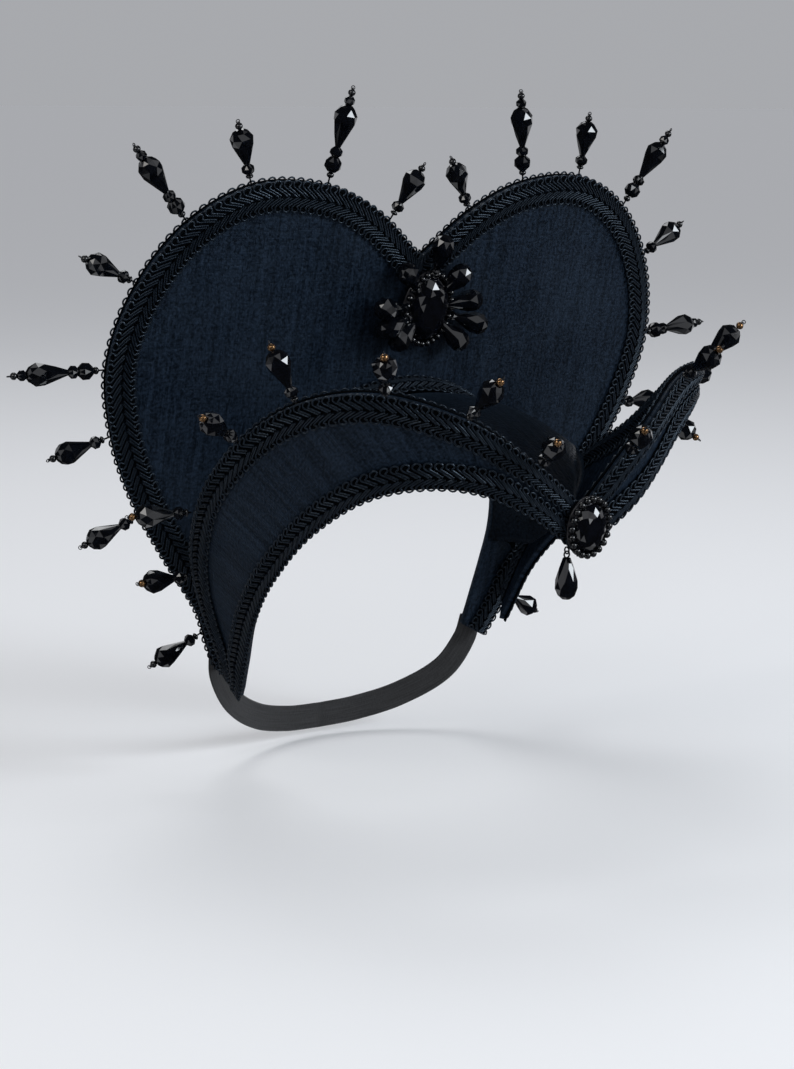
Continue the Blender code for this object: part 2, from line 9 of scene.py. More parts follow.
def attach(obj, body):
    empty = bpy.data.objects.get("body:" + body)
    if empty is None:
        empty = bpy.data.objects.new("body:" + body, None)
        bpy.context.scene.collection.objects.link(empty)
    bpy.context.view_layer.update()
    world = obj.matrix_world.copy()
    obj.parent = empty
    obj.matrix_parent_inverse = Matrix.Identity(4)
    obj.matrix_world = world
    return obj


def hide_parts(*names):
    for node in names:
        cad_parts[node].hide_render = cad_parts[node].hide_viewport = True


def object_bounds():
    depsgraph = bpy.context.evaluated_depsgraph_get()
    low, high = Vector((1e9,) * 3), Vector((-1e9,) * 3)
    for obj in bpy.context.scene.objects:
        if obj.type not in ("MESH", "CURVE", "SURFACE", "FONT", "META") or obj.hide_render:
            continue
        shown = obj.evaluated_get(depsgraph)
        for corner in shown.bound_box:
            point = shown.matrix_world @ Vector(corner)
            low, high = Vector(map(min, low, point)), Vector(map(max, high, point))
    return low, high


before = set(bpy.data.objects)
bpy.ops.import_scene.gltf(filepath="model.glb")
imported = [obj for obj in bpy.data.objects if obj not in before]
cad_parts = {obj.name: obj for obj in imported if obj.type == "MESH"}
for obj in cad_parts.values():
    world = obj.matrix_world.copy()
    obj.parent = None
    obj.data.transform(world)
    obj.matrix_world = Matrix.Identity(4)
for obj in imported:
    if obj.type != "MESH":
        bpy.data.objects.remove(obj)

# Looks of a stage crown: dupioni silk stretched over boards, gimp braid made of real
# cords, cut jet beads on wires, two jewels, a hanging drop and an elastic strap.
# Metres, +Z up, the wearer looks along -Y.

cad_box = [list(corner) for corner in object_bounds()]

# Sizes of the solids and their dressing in metres, with a few slopes and turns
HEAD_HALF_WIDTH = 0.080
HEAD_HALF_DEPTH = 0.100
HEAD_RISE = 0.082
GAP = 0.0003
CAP_WALL = 0.0020
PANEL_WALL = 0.0030
BRIM_WALL = 0.0024
BRAID_WIDTH = 0.0150
BRAID_THICK = 0.0024
BRAID_OVERHANG = 0.0020
HEART_HALF_WIDTH = 0.150
HEART_RISE = 0.098
HEART_DROP = 0.130
HEART_SETBACK = 0.0316
HEART_LEAN = 0.26
HEART_BOW = 0.40
ARCH_EASE = 0.0008
TAIL_INSET = 0.008
ARCH_BRAID_RISE = 0.0085
ARCH_BRAID_REACH = 0.0125
ARCH_BRAID_DROP = 0.080
BRIM_DROP = 0.132
BRIM_STAND = 0.030
WING_WIDTH = 0.064
BRIM_TURN = math.radians(-2.7)
CAP_DROP = 0.078
CAP_SIDE_DROP = 0.079
CAP_TONGUE_SPREAD = 9.0
CAP_TONGUE_HEIGHT = 0.008
LONG_TEAR_LENGTH = 0.0185
SHORT_TEAR_LENGTH = 0.0160
TEAR_RADIUS = 0.0051
BIG_RONDELLE_RADIUS = 0.0038
RONDELLE_RADIUS = 0.0029
SMALL_RONDELLE_RADIUS = 0.0024
SEED_RADIUS = 0.0017
STALK_SEED_LENGTH = 0.0028
FOOT_SEED_LENGTH = 0.0020
TIP_SEED_LENGTH = 0.0032
BIG_RONDELLE_LENGTH = 0.0066
RONDELLE_LENGTH = 0.0044
SMALL_RONDELLE_LENGTH = 0.0040
SPIKE_WIRE = 0.00038
WIRE_PAST_TIP = 0.0006
KNOT_RADIUS = 0.0008
KNOT_WIRE = 0.0002
HEART_STALK = 0.0034
BRIM_STALK = 0.0012
BROOCH_STONE = (0.0106, 0.0150)
FRONT_STONE = (0.0078, 0.0105)
STONE_HEIGHT = 0.0050
BROOCH_RIM_BEADS = 27
FRONT_RIM_BEADS = 20
SETTING_RING = 0.0032
PLATE_THICK = 0.0014
FRONT_JEWEL_SHARE = 0.70
FRONT_JEWEL_STAND = 0.0028
PETAL_REACH = 0.0355
PETAL_LENGTH = 0.0165
PETAL_RADIUS = 0.0052
PETAL_FOOT = 0.0030
PETAL_CLIMB = 0.20
PETAL_BEAD_LENGTH = 0.0032
PETAL_BEAD_RADIUS = 0.0021
PETAL_BEAD_BACK = 0.0030
PETAL_WIRE = 0.0004
PETAL_WIRE_LENGTH = 0.0075
BROOCH_DROP_FROM_CLEFT = 0.024
BROOCH_ASIDE = 0.0045
DROP_LENGTH = 0.0175
DROP_RADIUS = 0.0048
LINK_RADIUS = 0.0014
LINK_WIRE = 0.00035
DROP_SET_BACK = -0.0010
DROP_TURN = -2.1
STRAP_WIDTH = 0.012
STRAP_THICK = 0.0016
STRAP_DROP = 0.036
STRAP_RIB = 0.00012
STRAP_RIBS = 24
FLOOR_RADIUS = 60.0
FLOOR_BELOW = 0.004

# Tables of the solids: turns, flares, tilts, swings and rises in degrees, the rest as shares
# of the sizes above
HEART_OUTLINE = (
    # across, up
    (0.000, 0.851),
    (0.178, 0.943),
    (0.365, 0.993),
    (0.597, 0.997),
    (0.800, 0.928),
    (0.940, 0.805),
    (1.000, 0.658),
    (0.960, 0.513),
    (0.867, 0.377),
    (0.743, 0.254),
    (0.613, 0.136),
    (0.560, 0.057),
    (0.513, 0.000),
)
WING_RIGHT = (
    # turn, stand, drop, flare, width
    (0.0, 0.067, 0.421, 82.0, 0.344),
    (15.0, 0.400, 0.262, 71.0, 0.398),
    (30.0, 0.783, 0.174, 64.0, 0.578),
    (45.0, 0.983, 0.197, 65.0, 0.789),
    (60.0, 0.917, 0.330, 64.0, 0.961),
    (75.0, 0.717, 0.515, 58.0, 1.000),
    (90.0, 0.450, 0.697, 54.0, 0.844),
    (105.0, 0.217, 0.867, 53.0, 0.594),
    (118.0, 0.133, 1.000, 57.0, 0.344),
    (125.5, 0.133, 1.060, 60.0, 0.281),
)
WING_LEFT = (
    # turn, stand, drop, flare, width
    (0.0, 0.067, 0.421, 82.0, 0.344),
    (15.0, 0.343, 0.263, 79.0, 0.578),
    (30.0, 0.620, 0.058, 87.0, 0.410),
    (45.0, 0.750, -0.011, 78.0, 0.290),
    (60.0, 0.530, 0.120, 75.0, 0.456),
    (75.0, 0.400, 0.314, 72.0, 0.680),
    (90.0, 0.267, 0.466, 67.0, 0.750),
    (105.0, 0.200, 0.540, 62.0, 0.660),
    (118.0, 0.150, 0.700, 62.0, 0.470),
    (127.0, 0.133, 0.909, 66.0, 0.281),
)
CAP_EDGE = (
    # turn, drop
    (0.0, 0.60),
    (10.0, 0.42),
    (20.0, 0.32),
    (40.0, 0.27),
    (58.0, 0.34),
    (80.0, 0.56),
    (100.0, 0.85),
    (112.0, 1.00),
)
STRAP_PATH = (
    # across, back, down
    (0.90, 0.729, -0.30),
    (0.88, 0.762, 0.05),
    (0.76, 0.810, 0.47),
    (0.52, 0.905, 0.80),
    (0.25, 0.975, 0.96),
    (0.00, 1.000, 1.00),
)
BROOCH_PETALS = (
    # turn, reach
    (-1.0, 1.00),
    (42.0, 0.84),
    (85.0, 0.88),
    (108.0, 0.82),
    (130.0, 0.72),
    (-130.0, 0.79),
    (-105.0, 0.92),
    (-79.0, 0.76),
    (-38.0, 0.74),
)
HEART_SPIKES_RIGHT = (
    # share, tilt, long
    (0.066, -30.0, False),
    (0.169, -8.0, True),
    (0.272, 21.0, False),
    (0.361, 41.0, True),
    (0.447, 66.0, False),
    (0.553, 91.0, True),
    (0.634, 108.0, False),
    (0.748, 115.0, False),
    (0.936, 120.0, False),
)
HEART_SPIKES_LEFT = (
    # share, tilt, long
    (0.081, -32.0, False),
    (0.164, -14.0, True),
    (0.257, 0.0, False),
    (0.356, 33.0, True),
    (0.440, 58.0, False),
    (0.549, 86.0, True),
    (0.647, 91.0, False),
    (0.748, 115.0, False),
    (0.936, 120.0, False),
)
BRIM_SPIKES_RIGHT = (
    # turn, swing, rise
    (14.0, 4.0, 29.0),
    (29.0, -38.0, 42.0),
    (42.0, -8.0, 43.0),
    (57.0, 40.0, 65.0),
    (69.0, -3.0, 27.0),
    (85.0, 20.0, -2.0),
    (99.0, -19.0, 0.0),
)
BRIM_SPIKES_LEFT = (
    # turn, swing, rise
    (9.0, -30.0, 29.0),
    (27.0, -21.0, 33.0),
    (34.0, 20.0, 44.0),
    (66.0, 47.0, 4.0),
    (82.0, -10.0, -36.0),
    (100.0, -20.0, -30.0),
)

# Gimp braid: one motif is a doubled stem from the spine down to a hooked loop at the edge.
# Both tables are in millimetres along the braid, out from its spine, and above the cloth.
GIMP_PITCH = 0.0044
GIMP_CORD = 0.00042
GIMP_BASE_CORD = 0.00060
GIMP_BASE_STEP = 0.0014
GIMP_END = 0.0005
GIMP_TRIM = 0.0004
GIMP_CROSSING = 0.00004
GIMP_MOTIF = (
    # along, out, lift
    (4.6, 0.20, 1.75),
    (3.2, 1.10, 1.55),
    (1.8, 2.00, 1.35),
    (0.2, 3.00, 1.10),
    (-1.2, 3.90, 0.95),
    (-1.8, 5.00, 0.90),
    (-1.4, 6.15, 0.85),
    (-0.1, 6.75, 0.85),
    (1.2, 6.20, 0.90),
    (1.4, 5.20, 1.05),
    (0.5, 4.30, 1.30),
    (1.1, 3.60, 1.30),
    (2.7, 2.60, 1.40),
    (4.2, 1.60, 1.60),
    (5.7, 0.60, 1.80),
)

GIMP_CORE = (
    # out, lift, for cords that run the whole length
    (-5.5, 0.40),
    (-4.2, 0.45),
    (-2.6, 0.55),
    (-0.9, 0.85),
    (0.9, 0.85),
    (2.6, 0.55),
    (4.2, 0.45),
    (5.5, 0.40),
)

# Camera: the photograph's place, direction and angle of view
CAMERA_AT = Vector((-0.6569, -0.9046, 0.1353))
CAMERA_AHEAD = Vector((0.5649, 0.8067, -0.1736))
CAMERA_UP = Vector((0.0960, 0.1447, 0.9848))
PHOTO_HEIGHT = 1069
FOCAL_PIXELS = 2515
SENSOR = 36.0


def smooth(rows, column, at):
    """The value of a table's column at a place in its first column, on a smooth curve."""
    places = [row[0] for row in rows]
    values = [row[column] for row in rows]
    last = len(rows) - 1
    i = max(j for j in range(last) if j == 0 or places[j] <= at)
    span = places[i + 1] - places[i]
    t = min(max((at - places[i]) / span, 0.0), 1.0)

    def slope(j):
        a, b = max(j - 1, 0), min(j + 1, last)
        return (values[b] - values[a]) / (places[b] - places[a])

    m0, m1 = slope(i) * span, slope(i + 1) * span
    return (
        (2 * t**3 - 3 * t**2 + 1) * values[i]
        + (t**3 - 2 * t**2 + t) * m0
        + (-2 * t**3 + 3 * t**2) * values[i + 1]
        + (t**3 - t**2) * m1
    )


def even(path, count):
    """A path's points placed again at equal steps along it."""
    places = [0.0]
    for a, b in zip(path, path[1:]):
        places.append(places[-1] + (b - a).length)
    points = []
    i = 0
    for k in range(count):
        at = places[-1] * k / (count - 1)
        while i < len(path) - 2 and places[i + 1] < at:
            i += 1
        span = places[i + 1] - places[i]
        points.append(path[i].lerp(path[i + 1], min((at - places[i]) / span, 1.0)))
    return points


def trace(points, count):
    """Equal steps along a smooth curve through a list of points."""
    points = [Vector(p) for p in points]
    places = [0.0]
    for a, b in zip(points, points[1:]):
        places.append(places[-1] + (b - a).length)
    rows = [(place, *p) for place, p in zip(places, points)]
    size = len(points[0])
    fine = [
        Vector([smooth(rows, k + 1, places[-1] * i / 600) for k in range(size)])
        for i in range(601)
    ]
    return even(fine, count)


def aim(origin, ahead, side):
    """A placement whose own Z looks ahead and whose own X is close to a side direction."""
    z = ahead.normalized()
    y = z.cross(side).normalized()
    x = y.cross(z)
    turn = Matrix((x, y, z)).transposed().to_4x4()
    return Matrix.Translation(origin) @ turn


def head_radius(turn):
    """The head's plan radius at a turn from the front, at its widest level."""
    across = math.sin(turn) / HEAD_HALF_WIDTH
    along = math.cos(turn) / HEAD_HALF_DEPTH
    return 1.0 / math.hypot(across, along)


def head_level(spot, ease):
    """Below one inside the head grown by an ease, above one outside it."""
    x = spot.x / (HEAD_HALF_WIDTH + ease)
    y = spot.y / (HEAD_HALF_DEPTH + ease)
    z = max(spot.z + HEAD_RISE, 0.0) / (HEAD_RISE + ease)
    return x * x + y * y + z * z


def head_spot(turn, height):
    """The place on the head at a turn from the front and a height."""
    share = math.sqrt(1.0 - ((height + HEAD_RISE) / HEAD_RISE) ** 2)
    reach = share * head_radius(turn)
    return Vector((reach * math.sin(turn), -reach * math.cos(turn), height))


def on_heart(x, z, off):
    """A place off the heart's front face, in front of it where off is positive."""
    face = Vector((x, HEART_SETBACK + HEART_BOW * x * x - HEART_LEAN * z, z))
    ahead = Vector((2 * HEART_BOW * x, -1.0, -HEART_LEAN)).normalized()
    return face + ahead * off


def heart_half(count):
    """Half of the heart's outline, from the cleft to the tip of a tail."""
    height = HEART_RISE + HEART_DROP
    rows = [(a * HEART_HALF_WIDTH, up * height - HEART_DROP) for a, up in HEART_OUTLINE]
    return trace(rows, count)


def inset(half, distance):
    """Half of the outline moved into the heart."""
    moved = []
    for i, p in enumerate(half):
        a, b = half[max(i - 1, 0)], half[min(i + 1, len(half) - 1)]
        run = (b - a).normalized()
        inward = Vector((run.y, -run.x))
        if i == 0:
            moved.append(Vector((0.0, p.y - distance / -inward.y)))
        else:
            spot = p + inward * distance
            moved.append(Vector((max(spot.x, 0.0), spot.y)))
    return moved


def arch_half(ease, off, count, foot):
    """Half of the arch round the head, from its top down to a foot level."""
    points = []
    for k in range(31):
        angle = math.radians(90.0 * k / 30)
        low, high = 0.0, 0.2
        for _ in range(30):
            reach = (low + high) / 2
            spot = on_heart(reach * math.sin(angle), reach * math.cos(angle) - HEAD_RISE, off)
            if head_level(spot, ease) < 1.0:
                low = reach
            else:
                high = reach
        points.append(Vector((low * math.sin(angle), low * math.cos(angle) - HEAD_RISE)))
    for k in range(1, 9):
        z = -HEAD_RISE + (foot + HEAD_RISE) * k / 8
        low, high = 0.0, 0.2
        for _ in range(30):
            reach = (low + high) / 2
            if head_level(on_heart(reach, z, off), ease) < 1.0:
                low = reach
            else:
                high = reach
        points.append(Vector((low, z)))
    points = [p for p in points if p.y >= foot - 1e-6]
    return even(points, count)


def both(half):
    """A whole outline from its right-hand half."""
    return [Vector((-p.x, p.y)) for p in reversed(half[1:])] + list(half)


def section(turn):
    """The inner edge, the direction across and the width of the brim at a signed turn."""
    table = WING_LEFT if turn > 0.0 else WING_RIGHT
    stand, drop, flare, width = [smooth(table, k, abs(turn)) for k in (1, 2, 3, 4)]
    angle = math.radians(turn)
    out = Vector((math.sin(angle), -math.cos(angle), 0.0))
    inner = out * (head_radius(angle) + stand * BRIM_STAND)
    inner.z = -drop * BRIM_DROP
    lean = math.radians(flare)
    across = out * math.cos(lean) + Vector((0.0, 0.0, math.sin(lean)))
    return inner, across, width * WING_WIDTH


def on_brim(turn, across, off):
    """A place on the brim, off its middle surface, outside it where off is positive."""
    inner, up, width = section(turn)
    run = Vector((1.0, 0.0, 0.0))
    if abs(turn) > 0.1:
        side = math.copysign(1.0, turn)
        low, high = side * max(abs(turn) - 1.0, 0.01), side * (abs(turn) + 1.0)
        a, b = section(low), section(high)
        run = (b[0] + b[1] * b[2] / 2 - a[0] - a[1] * a[2] / 2) * side
    ahead = run.cross(up).normalized()
    return Matrix.Rotation(BRIM_TURN, 3, "Z") @ (inner + up * across + ahead * off)


def cap_rows(ease, tongue_off, count, steps):
    """The cap's outer face: rows from its front edge back to the arch."""
    rows = []
    arch = both(arch_half(ease, GAP, count, -CAP_SIDE_DROP))
    end = CAP_EDGE[-1][0]
    for i, back in enumerate(arch):
        turn = math.radians(end * (i - count + 1) / (count - 1))
        height = -CAP_DROP * smooth(CAP_EDGE, 1, abs(math.degrees(turn)))
        spot = head_spot(turn, height)
        start = Vector((spot.x / HEAD_HALF_WIDTH, spot.y / HEAD_HALF_DEPTH, spot.z / HEAD_RISE + 1))
        spot = on_heart(back.x, back.y, GAP)
        size = (HEAD_HALF_WIDTH + ease, HEAD_HALF_DEPTH + ease, HEAD_RISE + ease)
        finish = Vector((spot.x / size[0], spot.y / size[1], (spot.z + HEAD_RISE) / size[2]))
        reach = math.exp(-((math.degrees(turn) / CAP_TONGUE_SPREAD) ** 2))
        target = on_brim(0.0, CAP_TONGUE_HEIGHT, tongue_off)
        row = []
        for k in range(steps + 1):
            share = k / steps
            ball = start.lerp(finish, share).normalized()
            spot = Vector((ball.x * size[0], ball.y * size[1], ball.z * size[2] - HEAD_RISE))
            row.append(spot.lerp(target, reach * max(1.0 - 2.0 * share, 0.0) ** 2))
        rows.append(row)
    return rows


# Materials

def surface(name, color, roughness, **sockets):
    """A new Principled material and its nodes."""
    material = bpy.data.materials.new(name)
    material.use_nodes = True
    tree = material.node_tree
    shader = tree.nodes["Principled BSDF"]
    shader.inputs["Base Color"].default_value = (*color, 1.0)
    shader.inputs["Roughness"].default_value = roughness
    for socket, value in sockets.items():
        shader.inputs[socket.replace("_", " ")].default_value = value
    return material, tree, shader


def threads(tree, source, size, detail):
    """Noise drawn out along threads: size is how often it changes along each axis."""
    place = tree.nodes.new("ShaderNodeMapping")
    place.inputs["Scale"].default_value = size
    tree.links.new(source, place.inputs["Vector"])
    grain = tree.nodes.new("ShaderNodeTexNoise")
    grain.inputs["Scale"].default_value = 1.0
    grain.inputs["Detail"].default_value = detail
    tree.links.new(place.outputs["Vector"], grain.inputs["Vector"])
    return grain.outputs["Fac"]


def sums(tree, parts):
    """The weighted sum of several values."""
    total = None
    for value, weight in parts:
        step = tree.nodes.new("ShaderNodeMath")
        step.operation = "MULTIPLY_ADD"
        step.inputs[1].default_value = weight
        tree.links.new(value, step.inputs[0])
        if total is None:
            step.inputs[2].default_value = 0.0
        else:
            tree.links.new(total, step.inputs[2])
        total = step.outputs["Value"]
    return total


def shades(tree, value, low, high, dark, light):
    """A colour between two shades where a value runs from low to high."""
    ramp = tree.nodes.new("ShaderNodeValToRGB")
    ramp.color_ramp.elements[0].position = low
    ramp.color_ramp.elements[0].color = (*dark, 1.0)
    ramp.color_ramp.elements[1].position = high
    ramp.color_ramp.elements[1].color = (*light, 1.0)
    tree.links.new(value, ramp.inputs["Fac"])
    return ramp.outputs["Color"]


def raised(tree, shader, value, depth):
    """Bump of a real depth in metres."""
    bump = tree.nodes.new("ShaderNodeBump")
    bump.inputs["Strength"].default_value = 1.0
    bump.inputs["Distance"].default_value = depth
    tree.links.new(value, bump.inputs["Height"])
    tree.links.new(bump.outputs["Normal"], shader.inputs["Normal"])


SILK_DARK = (0.0010, 0.0026, 0.0056)
SILK_LIGHT = (0.0135, 0.0230, 0.0400)


def dupioni(name, output, warp, weft, depth=1.0):
    """Black-blue slubbed silk: how often its warp and weft change, and depth, a painted-shade factor
    that darkens its colour and its gloss.
    """
    material, tree, shader = surface(
        name,
        (0.0065, 0.0110, 0.0190),
        0.60,
        Sheen_Weight=0.02,
        Sheen_Roughness=0.40,
        Sheen_Tint=(0.40, 0.65, 1.0, 1.0),
        Specular_IOR_Level=0.20 * depth,
        Specular_Tint=(0.55, 0.75, 1.0, 1.0),
    )
    source = tree.nodes.new("ShaderNodeTexCoord").outputs[output]
    fine_warp = threads(tree, source, warp[0], 2.0)
    fine_weft = threads(tree, source, weft[0], 2.0)
    slubs = threads(tree, source, warp[1], 3.0)
    cross_slubs = threads(tree, source, weft[1], 3.0)
    cloudy = threads(tree, source, (22.0, 22.0, 22.0), 2.0)
    grain = threads(tree, source, (760.0, 760.0, 760.0), 3.0)
    parts = ((fine_warp, 0.20), (fine_weft, 0.10), (grain, 0.44), (slubs, 0.24), (cloudy, 0.06))
    mixed = sums(tree, parts)
    # Depth below one is painted shade: it darkens both tones here and the gloss above.
    dark, light = [tuple(c * depth for c in tone) for tone in (SILK_DARK, SILK_LIGHT)]
    color = shades(tree, mixed, 0.44, 0.67, dark, light)
    tree.links.new(color, shader.inputs["Base Color"])
    weave = ((fine_warp, 0.25), (fine_weft, 0.15), (grain, 0.60), (slubs, 0.50), (cross_slubs, 0.10))
    relief = sums(tree, weave)
    raised(tree, shader, relief, 0.00060)
    rough = sums(tree, ((slubs, -0.20), (fine_warp, 0.30), (cloudy, 0.80)))
    tree.links.new(rough, shader.inputs["Roughness"])
    return material


heart_silk = dupioni(
    "silk_upright",
    "Object",
    ((2600.0, 600.0, 90.0), (520.0, 60.0, 9.0)),
    ((70.0, 300.0, 2400.0), (14.0, 60.0, 420.0)),
)
brim_silk = dupioni(
    "silk_across",
    "UV",
    ((2600.0, 90.0, 1.0), (430.0, 11.0, 1.0)),
    ((80.0, 2400.0, 1.0), (12.0, 330.0, 1.0)),
)
# The cap's silk is the same silk at depth 0.35: painted shade for the shadow over the cap under the
# heart and brim.
cap_silk_shaded = dupioni(
    "silk_lengthways_shaded",
    "Object",
    ((2600.0, 90.0, 700.0), (480.0, 12.0, 60.0)),
    ((80.0, 2400.0, 700.0), (13.0, 420.0, 60.0)),
    0.35,
)


def cord_look(name, dark, light, roughness, gloss):
    """Black rayon cord with a soft satin shine and the fine ridges of its wrapping."""
    material, tree, shader = surface(
        name,
        dark,
        roughness,
        Specular_IOR_Level=gloss,
        Specular_Tint=(0.62, 0.80, 1.0, 1.0),
    )
    source = tree.nodes.new("ShaderNodeTexCoord").outputs["Object"]
    wrapping = tree.nodes.new("ShaderNodeTexWave")
    wrapping.inputs["Scale"].default_value = 900.0
    wrapping.inputs["Distortion"].default_value = 2.5
    wrapping.inputs["Detail"].default_value = 1.0
    wrapping.bands_direction = "DIAGONAL"
    tree.links.new(source, wrapping.inputs["Vector"])
    fluff = threads(tree, source, (420.0, 420.0, 420.0), 2.0)
    mixed = sums(tree, ((wrapping.outputs["Fac"], 0.45), (fluff, 0.55)))
    color = shades(tree, mixed, 0.30, 0.75, dark, light)
    tree.links.new(color, shader.inputs["Base Color"])
    raised(tree, shader, mixed, 0.00008)
    return material


gimp = cord_look("gimp_cord", (0.0014, 0.0024, 0.0042), (0.0065, 0.0105, 0.0175), 0.34, 0.50)
# The core cords under the loops get a darker, duller copy of the cord: painted shade for the gaps
# between the loops.
gimp_core = cord_look("gimp_core", (0.0004, 0.0005, 0.0008), (0.0012, 0.0016, 0.0024), 0.80, 0.06)


def glass(name, color, roughness, **sockets):
    """Cut glass: dark and glossy, with faint streaks and dust in its polish."""
    material, tree, shader = surface(name, color, roughness, **sockets)
    source = tree.nodes.new("ShaderNodeTexCoord").outputs["Object"]
    polish = threads(tree, source, (260.0, 260.0, 260.0), 3.0)
    rough = tree.nodes.new("ShaderNodeMapRange")
    rough.inputs["To Min"].default_value = roughness * 0.4
    rough.inputs["To Max"].default_value = roughness * 2.2
    tree.links.new(polish, rough.inputs["Value"])
    tree.links.new(rough.outputs["Result"], shader.inputs["Roughness"])
    light = tuple(c * 2.6 for c in color)
    tree.links.new(shades(tree, polish, 0.35, 0.75, color, light), shader.inputs["Base Color"])
    return material


jet = glass("jet_glass", (0.0009, 0.0012, 0.0020), 0.030, IOR=1.60)
stone_glass = glass("jewel_glass", (0.0008, 0.0010, 0.0018), 0.025, IOR=1.64)
# The brim's tip seeds are dark metal seeds whose warm bronze colour is painted reflection of warm
# surroundings; the heart's tip seeds are jet.
warm_reflection_seed = glass("seed_painted_warm_reflection", (0.150, 0.085, 0.040), 0.14, Metallic=0.9)
wire_look = glass("black_wire", (0.030, 0.030, 0.033), 0.30, Metallic=1.0)


def elastic_look():
    """Knitted elastic: lengthways ribs crossed by fine stitches."""
    material, tree, shader = surface(
        "strap_elastic",
        (0.011, 0.011, 0.012),
        0.78,
        Sheen_Weight=0.25,
        Sheen_Roughness=0.5,
    )
    source = tree.nodes.new("ShaderNodeTexCoord").outputs["UV"]
    ribs = threads(tree, source, (60.0, 1500.0, 1.0), 1.0)
    stitches = threads(tree, source, (1600.0, 500.0, 1.0), 1.0)
    mixed = sums(tree, ((ribs, 0.6), (stitches, 0.4)))
    color = shades(tree, mixed, 0.35, 0.70, (0.0060, 0.0060, 0.0066), (0.0230, 0.0230, 0.0250))
    tree.links.new(color, shader.inputs["Base Color"])
    raised(tree, shader, mixed, 0.0002)
    return material


elastic = elastic_look()


# Making pieces

def piece(name, mesh, looks, nodes, body="crown", soft=True):
    """A finished bmesh as a piece that stands for its solids and rides on a body."""
    data = bpy.data.meshes.new(name)
    mesh.to_mesh(data)
    mesh.free()
    return dress(name, data, looks, nodes, body, soft)


def dress(name, data, looks, nodes, body="crown", soft=True):
    """A finished mesh as a piece, with its finishes, riding on a body and standing for its solids."""
    for look in looks:
        data.materials.append(look)
    if soft:
        data.polygons.foreach_set("use_smooth", [True] * len(data.polygons))
    obj = bpy.data.objects.new(name, data)
    bpy.context.scene.collection.objects.link(obj)
    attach(obj, body)
    if nodes:
        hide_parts(*nodes)
    return obj


def cloth(name, points, wall, share, look, nodes, ripple=0.0, bias=0.0):
    """A sheet with a real wall over a grid of points, with a UV map in metres cut on a bias."""
    rows, columns = len(points), len(points[0])
    mesh = bmesh.new()
    made = bmesh.ops.create_grid(mesh, x_segments=rows - 1, y_segments=columns - 1, size=1.0)
    grid = {}
    for vert in made["verts"]:
        i = round((vert.co.x + 1) / 2 * (rows - 1))
        j = round((vert.co.y + 1) / 2 * (columns - 1))
        grid[vert] = (i, j)
    middle = columns // 2
    along = [0.0]
    for i in range(1, rows):
        along.append(along[-1] + (points[i][middle] - points[i - 1][middle]).length)
    layer = mesh.loops.layers.uv.new("cloth")
    for face in mesh.faces:
        for loop in face.loops:
            i, j = grid[loop.vert]
            across = (points[i][j] - points[i][0]).length
            loop[layer].uv = (
                math.cos(bias) * along[i] - math.sin(bias) * across,
                math.sin(bias) * along[i] + math.cos(bias) * across,
            )
    for vert, (i, j) in grid.items():
        vert.co = points[i][j]
    mesh.normal_update()
    if ripple:
        for vert, (i, j) in grid.items():
            edge = min(i, rows - 1 - i, j * 2, (columns - 1 - j) * 2) / 10
            wave = noise.noise(vert.co * 28.0) + 0.5 * noise.noise(vert.co * 75.0)
            vert.co += vert.normal * wave * ripple * min(edge, 1.0)
    obj = piece(name, mesh, [look], nodes)
    skin = obj.modifiers.new("wall", "SOLIDIFY")
    skin.thickness = wall
    skin.offset = share
    skin.use_even_offset = False
    return obj


def faces_of(verts):
    """The faces round some vertices."""
    return {face for vert in verts for face in vert.link_faces}


def finished(mesh, faces, look, smooth):
    """Faces turned outward, with their finish."""
    bmesh.ops.recalc_face_normals(mesh, faces=list(faces))
    for face in faces:
        face.material_index = look
        face.smooth = smooth


def cut_bead(mesh, rows, sides, place, look):
    """A cut bead: rings of (along, radius), each turned half a facet, in one flat-faced skin."""
    verts = []
    for ring, (along, radius) in enumerate(rows):
        for n in range(sides):
            angle = (2 * n + ring % 2) * math.pi / sides
            verts.append(mesh.verts.new((radius * math.cos(angle), radius * math.sin(angle), along)))
    skin = bmesh.ops.convex_hull(mesh, input=verts)
    inside = set(skin["geom_interior"] + skin["geom_unused"])
    bmesh.ops.delete(mesh, geom=[v for v in verts if v in inside], context="VERTS")
    verts = [vert for vert in verts if vert.is_valid]
    bmesh.ops.transform(mesh, matrix=place, verts=verts)
    finished(mesh, faces_of(verts), look, False)


def round_bead(mesh, rows, sides, place, look):
    """A smooth bead turned from rings of (along, radius)."""
    made = bmesh.ops.create_uvsphere(mesh, u_segments=sides, v_segments=len(rows) - 1, radius=1.0)
    verts = made["verts"]
    for vert in verts:
        height = max(-1.0, min(1.0, -vert.co.z))
        along, radius = rows[round(math.acos(height) / math.pi * (len(rows) - 1))]
        flat = Vector((vert.co.x, vert.co.y))
        if flat.length > 0.001:
            flat = flat.normalized() * radius
        vert.co = (flat.x, flat.y, along)
    bmesh.ops.transform(mesh, matrix=place, verts=verts)
    finished(mesh, faces_of(verts), look, True)


def wire(mesh, start, finish, radius, place, look):
    """A straight wire from one height to another along the placement's own Z."""
    middle = Matrix.Translation((0.0, 0.0, (start + finish) / 2))
    made = bmesh.ops.create_cone(
        mesh,
        cap_ends=True,
        segments=8,
        radius1=radius,
        radius2=radius,
        depth=finish - start,
        matrix=place @ middle,
    )
    for face in faces_of(made["verts"]):
        face.material_index = look
        face.smooth = len(face.verts) == 4


